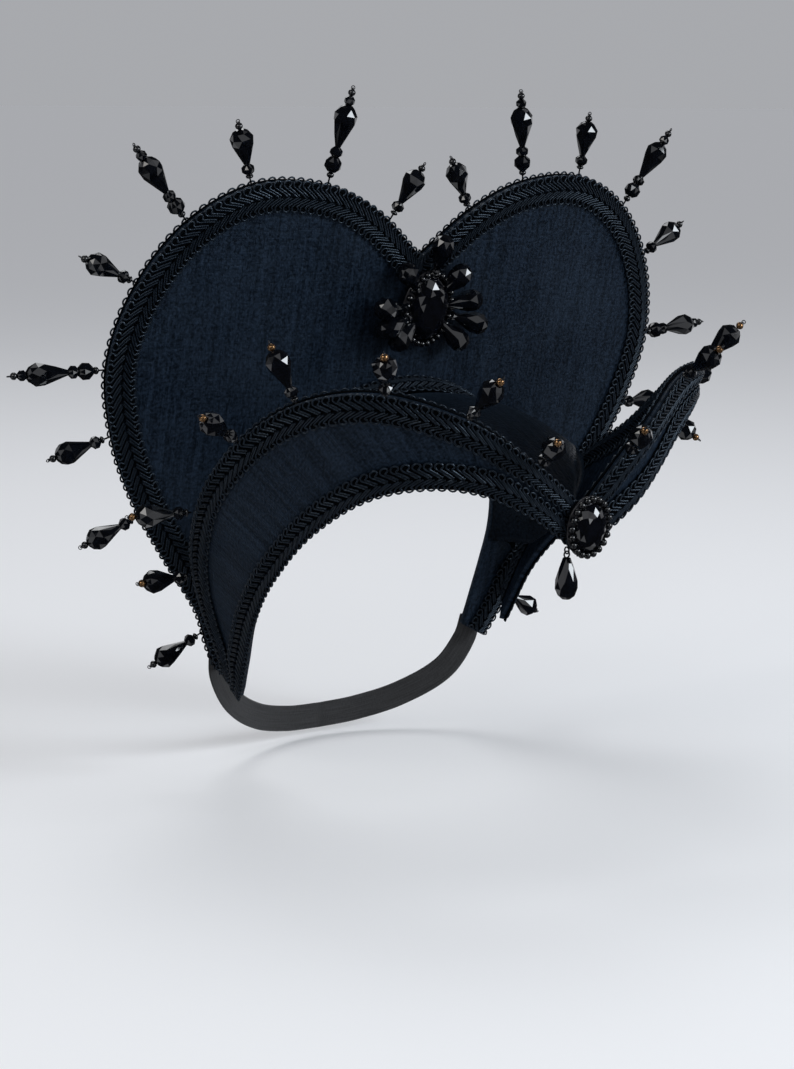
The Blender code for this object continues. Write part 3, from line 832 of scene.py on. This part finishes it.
def link(mesh, radius, thick, place, look, sides=24):
    """A closed ring of round wire, flat in the placement's own XY plane."""
    upright = Matrix.Translation((radius, 0.0, 0.0)) @ Matrix.Rotation(math.pi / 2, 4, "X")
    made = bmesh.ops.create_circle(mesh, segments=8, radius=thick, matrix=upright)
    edges = list({edge for vert in made["verts"] for edge in vert.link_edges})
    geometry = list(made["verts"]) + edges
    before = set(mesh.verts) - set(made["verts"])
    bmesh.ops.spin(
        mesh,
        geom=geometry,
        cent=(0.0, 0.0, 0.0),
        axis=(0.0, 0.0, 1.0),
        angle=2 * math.pi,
        steps=sides,
        use_merge=True,
    )
    verts = [vert for vert in mesh.verts if vert not in before]
    faces = faces_of(verts)
    bmesh.ops.recalc_face_normals(mesh, faces=list(faces))
    for face in faces:
        face.material_index = look
        face.smooth = True
    bmesh.ops.transform(mesh, matrix=place, verts=verts)


# Gimp braid

def curve_through(points, steps):
    """A smooth line through points, with steps between each two."""
    p = np.array([points[0] * 2 - points[1], *points, points[-1] * 2 - points[-2]])
    line = []
    for k in range(1, len(p) - 2):
        for n in range(steps):
            t = n / steps
            line.append(0.5 * (
                2 * p[k]
                + (p[k + 1] - p[k - 1]) * t
                + (2 * p[k - 1] - 5 * p[k] + 4 * p[k + 1] - p[k + 2]) * t**2
                + (3 * p[k] - p[k - 1] - 3 * p[k + 1] + p[k + 2]) * t**3
            ))
    line.append(p[-2])
    return np.array(line)


def cords(name, paths, radius, look, nodes):
    """Round cords along many paths, as one joined mesh."""
    curve = bpy.data.curves.new(name, "CURVE")
    curve.dimensions = "3D"
    curve.bevel_depth = radius
    curve.bevel_resolution = 1
    curve.use_fill_caps = True
    for path in paths:
        spline = curve.splines.new("POLY")
        spline.points.add(len(path) - 1)
        spline.points.foreach_set("co", np.column_stack([path, np.ones(len(path))]).ravel())
    line = bpy.data.objects.new(name + "_line", curve)
    bpy.context.scene.collection.objects.link(line)
    graph = bpy.context.evaluated_depsgraph_get()
    data = bpy.data.meshes.new_from_object(line.evaluated_get(graph))
    bpy.data.objects.remove(line)
    data.name = name
    data.materials.clear()
    return dress(name, data, [look], nodes)


def gimp_braid(name, outer, inner, normals, node):
    """Gimp over a ribbon between two edges: looped motifs on both sides of a spine."""
    outer, inner, normals = [np.array([list(p) for p in line]) for line in (outer, inner, normals)]
    middle = (outer + inner) / 2
    steps = np.linalg.norm(np.diff(middle, axis=0), axis=1)
    places = np.concatenate([[0.0], np.cumsum(steps)])
    total = places[-1]

    def ribbon(along, out, lift):
        """Places on the ribbon, from metres along, out from the spine, and above it."""
        a = np.clip(along, 0.0, total)
        far = np.stack([np.interp(a, places, outer[:, k]) for k in range(3)], 1)
        near = np.stack([np.interp(a, places, inner[:, k]) for k in range(3)], 1)
        up = np.stack([np.interp(a, places, normals[:, k]) for k in range(3)], 1)
        up /= np.linalg.norm(up, axis=1)[:, None]
        share = (out / BRAID_WIDTH + 0.5)[:, None]
        return near + (far - near) * share + up * lift[:, None]

    motif = curve_through(np.array(GIMP_MOTIF) / 1000, 2)
    count = int((total - 2 * GIMP_END) / GIMP_PITCH)
    pitch = (total - 2 * GIMP_END) / count
    paths = []
    for n in range(count + 2):
        for side in (1, -1):
            along = motif[:, 0] + (n + (0.25 if side < 0 else 0.0)) * pitch
            keep = (along > GIMP_TRIM) & (along < total - GIMP_TRIM)
            if keep.sum() > 6:
                lift = motif[:, 2] + GIMP_CROSSING * side
                paths.append(ribbon(along[keep], side * motif[keep, 1], lift[keep]))
    cords(name, paths, GIMP_CORD, gimp, [node])
    # Core cords under the loops, in the darker cord that paints the shade in the gaps.
    run = np.linspace(GIMP_END, total - GIMP_END, max(int(total / GIMP_BASE_STEP), 8))
    core = []
    for out, lift in GIMP_CORE:
        core.append(ribbon(run, np.full(len(run), out / 1000), np.full(len(run), lift / 1000)))
    cords(name + "_core", core, GIMP_BASE_CORD, gimp_core, [])


FINE = 260
outline = heart_half(FINE)
inner_line = inset(outline, BRAID_WIDTH)
for label, off, way in (
    ("heart_front", GAP, 1.0),
    ("heart_back", -PANEL_WALL - GAP, -1.0),
):
    outer = [on_heart(p.x, p.y, off) for p in both(outline)]
    inner = [on_heart(p.x, p.y, off) for p in both(inner_line)]
    ups = [on_heart(p.x, p.y, off + way) - on_heart(p.x, p.y, off) for p in both(outline)]
    gimp_braid(label + "_gimp", outer, inner, ups, label + "_braid")

arch_count = 90
high_line = both(arch_half(CAP_WALL + ARCH_BRAID_RISE, GAP, arch_count, -ARCH_BRAID_DROP))
arch_reach = GAP + ARCH_BRAID_REACH
low_line = both(arch_half(CAP_WALL + GAP, arch_reach, arch_count, -ARCH_BRAID_DROP))
heart_side = [on_heart(p.x, p.y, GAP) for p in high_line]
cap_side = [on_heart(p.x, p.y, arch_reach) for p in low_line]
ups = []
for i, (a, b) in enumerate(zip(heart_side, cap_side)):
    run = heart_side[min(i + 1, 2 * arch_count - 2)] - heart_side[max(i - 1, 0)]
    ups.append((b - a).cross(run))
gimp_braid("arch_gimp", heart_side, cap_side, ups, "arch_braid")

WING_STEPS = 110
turns = [-WING_RIGHT[-1][0] * (1.0 - k / WING_STEPS) for k in range(WING_STEPS + 1)]
turns += [WING_LEFT[-1][0] * k / WING_STEPS for k in range(1, WING_STEPS + 1)]
skin = BRIM_WALL / 2


def brim_gimp(label, off, way, outside):
    """Gimp along one edge of the brim, on its front or its back."""
    outer, inner, ups = [], [], []
    for turn in turns:
        width = section(turn)[2]
        broad = min(BRAID_WIDTH, (width - GAP) / 2)
        a, b = (width, width - broad) if outside else (broad, 0.0)
        outer.append(on_brim(turn, a, off))
        inner.append(on_brim(turn, b, off))
        ups.append(on_brim(turn, a, off + way) - outer[-1])
    gimp_braid("brim_%s_gimp" % label, outer, inner, ups, "brim_%s_braid" % label)


brim_gimp("outer", skin + GAP, 1.0, True)
brim_gimp("back", -skin - GAP, -1.0, True)
brim_gimp("inner", skin + GAP, 1.0, False)


# Cloth

RIPPLE = 0.00020
HEART_RIPPLE = 0.00025
BRIM_BIAS = math.radians(-25.0)
HEART_STEPS, BRIM_STEPS = 24, 14
panel_edge = inset(heart_half(110), BRAID_OVERHANG)
arch_edge = arch_half(ARCH_EASE, 0.0, 110, TAIL_INSET - HEART_DROP)
heart_grid = []
for a, b in zip(both(panel_edge), both(arch_edge)):
    flat = [a.lerp(b, k / HEART_STEPS) for k in range(HEART_STEPS + 1)]
    heart_grid.append([on_heart(p.x, p.y, 0.0) for p in flat])
cloth("heart_cloth", heart_grid, PANEL_WALL, 1.0, heart_silk, ["heart_panel"], HEART_RIPPLE)

brim_grid = []
for turn in turns:
    width = section(turn)[2]
    row = []
    for k in range(BRIM_STEPS + 1):
        across = BRAID_OVERHANG + (width - 2 * BRAID_OVERHANG) * k / BRIM_STEPS
        row.append(on_brim(turn, across, 0.0))
    brim_grid.append(row)
cloth("brim_cloth", brim_grid, BRIM_WALL, 0.0, brim_silk, ["front_brim"], RIPPLE, BRIM_BIAS)

cap_grid = cap_rows(CAP_WALL, -skin - GAP, 46, 22)
cloth("cap_cloth", cap_grid, CAP_WALL, -1.0, cap_silk_shaded, ["cap"], RIPPLE)

strap_points = [
    (across * HEAD_HALF_WIDTH, back * HEAD_HALF_DEPTH, -HEART_DROP - down * STRAP_DROP)
    for across, back, down in STRAP_PATH
]
strap_half = trace(strap_points, 60)
strap_line = [Vector((-p.x, p.y, p.z)) for p in strap_half] + list(reversed(strap_half[:-1]))
strap_grid = []
for i, p in enumerate(strap_line):
    a, b = strap_line[max(i - 1, 0)], strap_line[min(i + 1, len(strap_line) - 1)]
    run = (b - a).normalized()
    turned = 1.0 - abs(2 * i / (len(strap_line) - 1) - 1.0)
    out = Vector((turned * p.x / HEAD_HALF_WIDTH**2, p.y / HEAD_HALF_DEPTH**2, 0.0))
    side = run.cross(out).normalized()
    out = side.cross(run).normalized()
    row = []
    for k in range(STRAP_RIBS + 1):
        rib = STRAP_RIB * math.cos(k * math.pi)
        row.append(p + side * STRAP_WIDTH * (k / STRAP_RIBS - 0.5) + out * rib)
    strap_grid.append(row)
strap = cloth(
    "strap_elastic_band", strap_grid, STRAP_THICK * 0.8, 0.0, elastic, ["nape_strap"]
)


# Beads on wires

# Profiles of (along, broad), as shares of a bead's length and radius
TEAR_CUT = ((0.0, 0.24), (0.30, 0.58), (0.60, 0.96), (0.78, 1.0), (0.93, 0.68), (1.0, 0.36))
DROP_CUT = ((0.0, 0.34), (0.24, 0.68), (0.54, 0.98), (0.74, 1.04), (0.92, 0.74), (1.0, 0.36))
PETAL_CUT = ((0.0, 0.26), (0.26, 0.56), (0.54, 0.92), (0.76, 1.0), (0.93, 0.72), (1.0, 0.40))
RONDELLE_CUT = ((0.0, 0.48), (0.30, 0.97), (0.70, 0.97), (1.0, 0.48))
SEED_ROUND = (
    (0.0, 0.0),
    (0.08, 0.50),
    (0.28, 0.88),
    (0.5, 1.0),
    (0.72, 0.88),
    (0.92, 0.50),
    (1.0, 0.0),
)
SEED_SIDES, RONDELLE_SIDES, TEAR_SIDES = 12, 10, 8
JET, WARM_REFLECTION, WIRE, STONE = 0, 1, 2, 3
BEAD_LOOKS = [jet, warm_reflection_seed, wire_look, stone_glass]


def string(mesh, place, at, beads):
    """Beads one after another on a wire; each is (cut, length, radius, sides, finish)."""
    for cut, length, radius, sides, look in beads:
        rows = [(at + along * length, broad * radius) for along, broad in cut]
        make = round_bead if cut is SEED_ROUND else cut_bead
        make(mesh, rows, sides, place, look)
        at += length
    return at


def spike(name, foot, ahead, side, stalk, long, turn, tip):
    """One spike of cut beads on its wire; tip is the finish of its last seed."""
    place = aim(foot, ahead, side) @ Matrix.Rotation(turn, 4, "Z")
    mesh = bmesh.new()
    if long:
        beads = [
            (SEED_ROUND, STALK_SEED_LENGTH, SEED_RADIUS, SEED_SIDES, JET),
            (RONDELLE_CUT, BIG_RONDELLE_LENGTH, BIG_RONDELLE_RADIUS, RONDELLE_SIDES, JET),
            (RONDELLE_CUT, RONDELLE_LENGTH, RONDELLE_RADIUS, RONDELLE_SIDES, JET),
            (TEAR_CUT, LONG_TEAR_LENGTH, TEAR_RADIUS, TEAR_SIDES, JET),
            (RONDELLE_CUT, SMALL_RONDELLE_LENGTH, SMALL_RONDELLE_RADIUS, TEAR_SIDES, JET),
        ]
    else:
        beads = [
            (SEED_ROUND, FOOT_SEED_LENGTH, SEED_RADIUS, SEED_SIDES, JET),
            (RONDELLE_CUT, RONDELLE_LENGTH, RONDELLE_RADIUS, RONDELLE_SIDES, JET),
            (TEAR_CUT, SHORT_TEAR_LENGTH, TEAR_RADIUS, TEAR_SIDES, JET),
        ]
    beads.append((SEED_ROUND, TIP_SEED_LENGTH, SEED_RADIUS, SEED_SIDES, tip))
    end = string(mesh, place, stalk, beads) + WIRE_PAST_TIP
    wire(mesh, 0.0, end, SPIKE_WIRE, place, WIRE)
    knot = place @ Matrix.Translation((0.0, 0.0, end)) @ Matrix.Rotation(math.pi / 2, 4, "X")
    link(mesh, KNOT_RADIUS, KNOT_WIRE, knot, WIRE, 12)
    piece(name + "_beads", mesh, BEAD_LOOKS[:3], [name], soft=False)


def heart_spikes(rows, side, label):
    """Spikes on one half of the heart's edge."""
    fine = heart_half(401)
    edge = inset(fine, BRAID_OVERHANG)
    middle = -PANEL_WALL / 2
    for k, (share, tilt, long) in enumerate(rows):
        p = edge[round(share * 400)]
        angle = math.radians(tilt)
        step = Vector((math.sin(angle), math.cos(angle))) * 0.001
        foot = on_heart(side * p.x, p.y, middle)
        ahead = on_heart(side * (p.x + step.x), p.y + step.y, middle) - foot
        foot += ahead.normalized() * GAP * 1.5
        name = "heart_spike_%s_%d" % (label, k + 1)
        spike(name, foot, ahead, Vector((0.0, 1.0, 0.0)), HEART_STALK, long, 0.7 * k, JET)


heart_spikes(HEART_SPIKES_RIGHT, -1, "right")
heart_spikes(HEART_SPIKES_LEFT, 1, "left")


def brim_spikes(rows, side, label):
    """Spikes on the upper edge of one wing of the brim."""
    for k, (turn, swing, rise) in enumerate(rows):
        at = side * turn
        foot = on_brim(at, section(at)[2] + GAP, skin + GAP + BRAID_THICK)
        around = math.radians(side * (turn + swing)) + BRIM_TURN
        climb = math.radians(rise)
        level = Vector((math.sin(around), -math.cos(around), 0.0))
        ahead = level * math.cos(climb) + Vector((0.0, 0.0, math.sin(climb)))
        name = "brim_spike_%s_%d" % (label, k + 1)
        side_way = level.cross(Vector((0.0, 0.0, 1.0)))
        # The tip seed takes the warm metal, a painted reflection.
        spike(name, foot, ahead, side_way, BRIM_STALK, False, 0.9 * k, WARM_REFLECTION)


brim_spikes(BRIM_SPIKES_RIGHT, -1, "right")
brim_spikes(BRIM_SPIKES_LEFT, 1, "left")


# Jewels

STONE_CUT = (
    # along, broad
    (0.00, 0.84),
    (0.28, 1.00),
    (0.60, 0.88),
    (0.86, 0.70),
    (1.00, 0.52),
)


def mounted_stone(mesh, half, beads, place):
    """An oval cut stone on its back plate, inside a ring of small round beads."""
    plate = Matrix.Diagonal((half[0] + SETTING_RING * 0.9, half[1] + SETTING_RING * 0.9, 1.0, 1.0))
    rows = [(0.0, 0.0), (0.0, 0.97), (0.5, 1.0), (1.0, 0.97), (1.0, 0.0)]
    rows = [(along * PLATE_THICK, broad) for along, broad in rows]
    round_bead(mesh, rows, 40, place @ plate, WIRE)
    size = Matrix.Diagonal((half[0], half[1], STONE_HEIGHT, 1.0))
    lift = Matrix.Translation((0.0, 0.0, PLATE_THICK))
    cut_bead(mesh, STONE_CUT, 12, place @ lift @ size, STONE)
    radius = SETTING_RING / 2
    for k in range(beads):
        angle = 2 * math.pi * k / beads
        out = (half[0] + radius, half[1] + radius)
        spot = (out[0] * math.cos(angle), out[1] * math.sin(angle), PLATE_THICK + radius * 0.7)
        rows = [((along - 0.5) * 2 * radius, broad * radius) for along, broad in SEED_ROUND]
        turn = Matrix.Rotation(angle + math.pi / 2, 4, "Z") @ Matrix.Rotation(math.pi / 2, 4, "Y")
        round_bead(mesh, rows, 12, place @ Matrix.Translation(spot) @ turn, JET)


brooch_height = outline[0].y - BROOCH_DROP_FROM_CLEFT
base = GAP + BRAID_THICK + GAP
brooch_at = on_heart(BROOCH_ASIDE, brooch_height, base)
brooch_out = on_heart(BROOCH_ASIDE, brooch_height, base + 0.01) - brooch_at
brooch_place = aim(brooch_at, brooch_out, Vector((1.0, 0.0, 0.0)))
mesh = bmesh.new()
mounted_stone(mesh, BROOCH_STONE, BROOCH_RIM_BEADS, brooch_place)
for n, (angle, reach) in enumerate(BROOCH_PETALS):
    turn = math.radians(angle)
    out = Vector((-math.sin(turn), math.cos(turn), 0.0))
    start = out * (reach * PETAL_REACH - PETAL_LENGTH)
    start.z = PETAL_FOOT
    out.z = PETAL_CLIMB
    petal = brooch_place @ aim(start, out, Vector((0.0, 0.0, 1.0))) @ Matrix.Rotation(0.5 * n, 4, "Z")
    string(mesh, petal, 0.0, [(PETAL_CUT, PETAL_LENGTH, PETAL_RADIUS, TEAR_SIDES, JET)])
    bead = (RONDELLE_CUT, PETAL_BEAD_LENGTH, PETAL_BEAD_RADIUS, TEAR_SIDES, JET)
    string(mesh, petal, -PETAL_BEAD_BACK, [bead])
    wire(mesh, -PETAL_WIRE_LENGTH, 0.0, PETAL_WIRE, petal, WIRE)
piece("heart_brooch_beads", mesh, BEAD_LOOKS, ["heart_brooch"], soft=False)

jewel_off = skin + GAP + BRAID_THICK + FRONT_JEWEL_STAND
jewel_across = FRONT_JEWEL_SHARE * section(0.0)[2]
jewel_at = on_brim(0.0, jewel_across, jewel_off)
jewel_out = on_brim(0.0, jewel_across, jewel_off + 0.01) - jewel_at
mesh = bmesh.new()
jewel_place = aim(jewel_at, jewel_out, Vector((1.0, 0.0, 0.0)))
mounted_stone(mesh, FRONT_STONE, FRONT_RIM_BEADS, jewel_place)
piece("front_jewel_beads", mesh, BEAD_LOOKS, ["front_jewel"], soft=False)

link_top = on_brim(DROP_TURN, BRAID_OVERHANG, DROP_SET_BACK) - Vector((0.0, 0.0, GAP + LINK_WIRE))
link_at = link_top - Vector((0.0, 0.0, LINK_RADIUS))
mesh = bmesh.new()
upright = Matrix.Translation(link_at) @ Matrix.Rotation(math.pi / 2, 4, "Y")
link(mesh, LINK_RADIUS, LINK_WIRE, upright, 0)
piece("drop_ring_wire", mesh, [wire_look], ["drop_ring"], soft=False)

eye_at = link_at - Vector((0.0, 0.0, LINK_RADIUS + GAP))
drop_top = eye_at - Vector((0.0, 0.0, LINK_RADIUS))
mesh = bmesh.new()
crossed = Matrix.Translation(eye_at) @ Matrix.Rotation(math.pi / 2, 4, "X")
link(mesh, LINK_RADIUS, LINK_WIRE, crossed, WIRE)
down = aim(drop_top, Vector((0.0, 0.0, -1.0)), Vector((1.0, 0.0, 0.0)))
string(mesh, down, 0.0, [(DROP_CUT, DROP_LENGTH, DROP_RADIUS, TEAR_SIDES, JET)])
piece("drop_beads", mesh, BEAD_LOOKS[:3], ["drop"], body="drop", soft=False)


# Floor, light and camera

def floor_piece():
    """A plain pale floor below the crown."""
    mesh = bmesh.new()
    bmesh.ops.create_circle(mesh, cap_ends=True, segments=96, radius=FLOOR_RADIUS)
    bmesh.ops.translate(mesh, verts=mesh.verts, vec=(0.0, 0.0, cad_box[0][2] - FLOOR_BELOW))
    data = bpy.data.meshes.new("floor")
    mesh.to_mesh(data)
    mesh.free()
    obj = bpy.data.objects.new("floor", data)
    bpy.context.scene.collection.objects.link(obj)
    data.materials.append(surface("pale_floor", (0.90, 0.90, 0.905), 0.90, Specular_IOR_Level=0.0)[0])
    obj.visible_glossy = False


floor_piece()


def soft_light(name, place, size, power, color):
    """A square softbox that looks at the crown's middle."""
    light = bpy.data.lights.new(name, "AREA")
    light.shape = "SQUARE"
    light.size = size
    light.energy = power
    light.color = color
    obj = bpy.data.objects.new(name, light)
    bpy.context.scene.collection.objects.link(obj)
    obj.location = place
    obj.visible_camera = False
    obj.rotation_euler = (Vector((0.0, 0.0, -0.03)) - Vector(place)).to_track_quat("-Z", "Y").to_euler()


soft_light("window_softbox", (0.96, -1.35, 0.62), 0.68, 19.0, (0.88, 0.94, 1.0))
soft_light("front_softbox", (-0.75, -1.20, 0.95), 0.35, 1.7, (0.92, 0.96, 1.0))
soft_light("low_softbox", (0.10, -1.60, -0.05), 0.30, 0.8, (0.92, 0.96, 1.0))
soft_light("left_softbox", (-1.40, -0.35, 0.80), 0.60, 5.0, (1.0, 0.98, 0.95))
soft_light("top_softbox", (0.20, 0.90, 1.30), 0.70, 5.0, (0.96, 0.98, 1.0))


def studio(color, light, seen, patch):
    """Pale surroundings: how strongly they light, how bright they look, and gloss's patches."""
    world = bpy.data.worlds.new("studio")
    bpy.context.scene.world = world
    world.use_nodes = True
    tree = world.node_tree
    tree.nodes["Background"].inputs["Color"].default_value = (*color, 1.0)
    room = tree.nodes.new("ShaderNodeTexNoise")
    room.inputs["Scale"].default_value = 2.6
    room.inputs["Detail"].default_value = 0.0
    around = tree.nodes.new("ShaderNodeTexCoord")
    tree.links.new(around.outputs["Generated"], room.inputs["Vector"])
    panes = tree.nodes.new("ShaderNodeMapRange")
    panes.inputs["From Min"].default_value = 0.56
    panes.inputs["From Max"].default_value = 0.62
    panes.inputs["To Min"].default_value = 0.02
    panes.inputs["To Max"].default_value = patch
    tree.links.new(room.outputs["Fac"], panes.inputs["Value"])
    ray = tree.nodes.new("ShaderNodeLightPath")
    gloss = tree.nodes.new("ShaderNodeMapRange")
    gloss.inputs["To Min"].default_value = light
    tree.links.new(panes.outputs["Result"], gloss.inputs["To Max"])
    tree.links.new(ray.outputs["Is Glossy Ray"], gloss.inputs["Value"])
    level = tree.nodes.new("ShaderNodeMapRange")
    level.inputs["To Max"].default_value = seen
    tree.links.new(ray.outputs["Is Camera Ray"], level.inputs["Value"])
    tree.links.new(gloss.outputs["Result"], level.inputs["To Min"])
    tree.links.new(level.outputs["Result"], tree.nodes["Background"].inputs["Strength"])


studio((0.93, 0.95, 1.0), 0.47, 0.42, 0.75)

lens = bpy.data.cameras.new("camera")
lens.sensor_width = SENSOR
lens.lens = FOCAL_PIXELS / PHOTO_HEIGHT * SENSOR
lens.clip_start = 0.05
lens.clip_end = 50.0
camera = bpy.data.objects.new("camera", lens)
bpy.context.scene.collection.objects.link(camera)
back = -CAMERA_AHEAD.normalized()
right = CAMERA_UP.cross(back).normalized()
up = back.cross(right)
camera.matrix_world = Matrix.Translation(CAMERA_AT) @ Matrix((right, up, back)).transposed().to_4x4()
bpy.context.scene.camera = camera
bpy.context.scene.view_settings.view_transform = "Standard"
bpy.context.scene.view_settings.look = "None"
